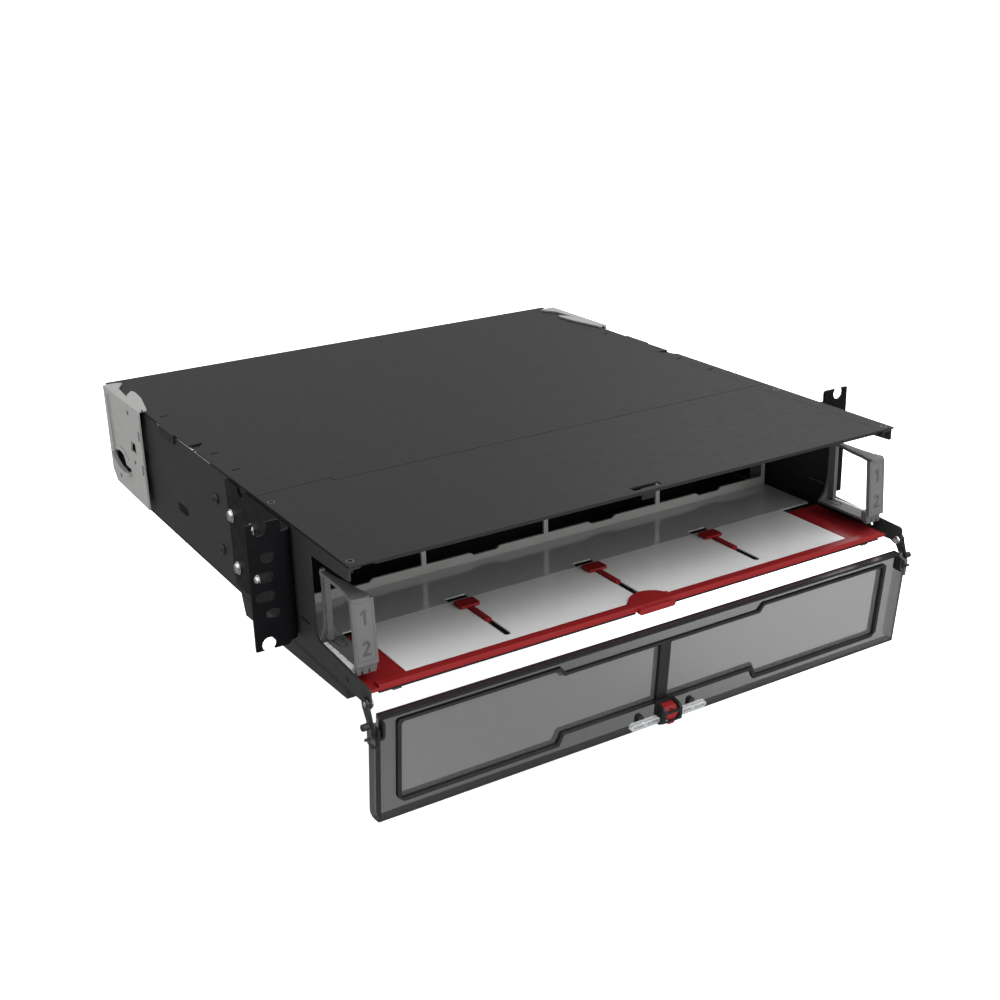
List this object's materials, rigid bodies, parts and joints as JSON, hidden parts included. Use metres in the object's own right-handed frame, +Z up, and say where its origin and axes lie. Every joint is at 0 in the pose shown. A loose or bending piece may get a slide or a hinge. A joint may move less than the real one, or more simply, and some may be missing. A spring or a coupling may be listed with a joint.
{
  "type": "fiber termination box",
  "caption": "Rack-mount fibre termination box with a fold-down smoked door, a pull-out tray with slide latches, side cable managers, rack ears and rear tie-down brackets.",
  "frame": {"origin": "centre of the enclosure's width, in the plane where the rear faces of its ears meet the rack posts, at the bottom line of its two-unit rack space", "axes": "+X to the right as seen from the front, the front with the door faces -Y, +Z up"},
  "size_m": [0.4826, 0.4769, 0.1655],
  "materials": {
    "cover_paint": "fine matte powder coat, dark grey",
    "chassis_paint": "fine matte powder coat, dark grey",
    "ear_paint": "matte powder coat, black",
    "bracket_paint": "satin light grey paint",
    "floor_paint": "glossy white paint",
    "frame_paint": "satin light grey paint",
    "steel": "bright zinc-plated steel",
    "black_steel": "black oxide screw",
    "grey_plastic": "grey moulded plastic",
    "white_plastic": "white moulded plastic",
    "red_plastic": "red moulded plastic",
    "black_plastic": "black moulded plastic",
    "smoked_plastic": "smoked transparent plastic",
    "smoked_window": "lightly smoked transparent window",
    "clear_plastic": "clear moulded plastic"
  },
  "bodies": {
    "chassis": {"cable_manager_left": "grey_plastic", "cable_manager_right": "grey_plastic", "cover_screw_1": "black_steel", "cover_screw_2": "black_steel", "cover_screw_3": "black_steel", "cover_screw_4": "black_steel", "ear_screw_left_1": "steel", "ear_screw_left_2": "steel", "ear_screw_left_3": "steel", "ear_screw_left_4": "steel", "ear_screw_right_1": "steel", "ear_screw_right_2": "steel", "ear_screw_right_3": "steel", "ear_screw_right_4": "steel", "floor_pan": "chassis_paint", "front_cover": "cover_paint", "hinge_pin_left": "steel", "hinge_pin_right": "steel", "manager_rail_left": "white_plastic", "manager_rail_right": "white_plastic", "module_frame": "frame_paint", "rack_ear_left": "ear_paint", "rack_ear_right": "ear_paint", "rear_bracket_left": "bracket_paint", "rear_bracket_right": "bracket_paint", "rear_cover": "cover_paint", "rear_panel": "chassis_paint", "shelf_floor": "floor_paint", "side_screw_left_1": "black_steel", "side_screw_left_2": "black_steel", "side_screw_right_1": "black_steel", "side_screw_right_2": "black_steel", "side_wall_left": "chassis_paint", "side_wall_right": "chassis_paint", "under_pan": "chassis_paint"},
    "tray": {"tray_base": "black_plastic", "tray_frame": "red_plastic", "tray_panel": "white_plastic", "tray_runner_left": "grey_plastic", "tray_runner_right": "grey_plastic"},
    "tray_latch_left_body": {"tray_latch_left": "red_plastic"},
    "tray_latch_centre_body": {"tray_latch_centre": "red_plastic"},
    "tray_latch_right_body": {"tray_latch_right": "red_plastic"},
    "door": {"door_panel": "smoked_plastic", "door_peg_lower_left": "black_plastic", "door_peg_lower_right": "black_plastic", "door_peg_upper_left": "black_plastic", "door_peg_upper_right": "black_plastic", "hinge_block_left": "black_plastic", "hinge_block_right": "black_plastic", "latch_housing": "smoked_plastic", "latch_lug_left": "black_plastic", "latch_lug_right": "black_plastic", "latch_spring_left": "clear_plastic", "latch_spring_right": "clear_plastic", "window_frame": "black_plastic", "window_pane_left": "smoked_window", "window_pane_right": "smoked_window"},
    "door_latch": {"door_latch": "red_plastic"}
  },
  "joints": [
    {"name": "tray_slide", "type": "slide", "parent": "chassis", "child": "tray", "axis": [0, -1, 0], "range_m": [0, 0.08]},
    {"name": "tray_latch_slide_left", "type": "slide", "parent": "tray", "child": "tray_latch_left_body", "axis": [0, -1, 0], "range_m": [0, 0.02]},
    {"name": "tray_latch_slide_centre", "type": "slide", "parent": "tray", "child": "tray_latch_centre_body", "axis": [0, -1, 0], "range_m": [0, 0.02]},
    {"name": "tray_latch_slide_right", "type": "slide", "parent": "tray", "child": "tray_latch_right_body", "axis": [0, -1, 0], "range_m": [0, 0.02]},
    {"name": "door_hinge", "type": "hinge", "parent": "chassis", "child": "door", "pos_m": [0, -0.0912, -0.0005], "axis": [1, 0, 0], "range_deg": [-186, 0]},
    {"name": "door_latch_press", "type": "slide", "parent": "door", "child": "door_latch", "axis": [0, -0.1045, 0.9945], "range_m": [0, 0.003], "stiffness_N_per_m": 400}
  ]
}
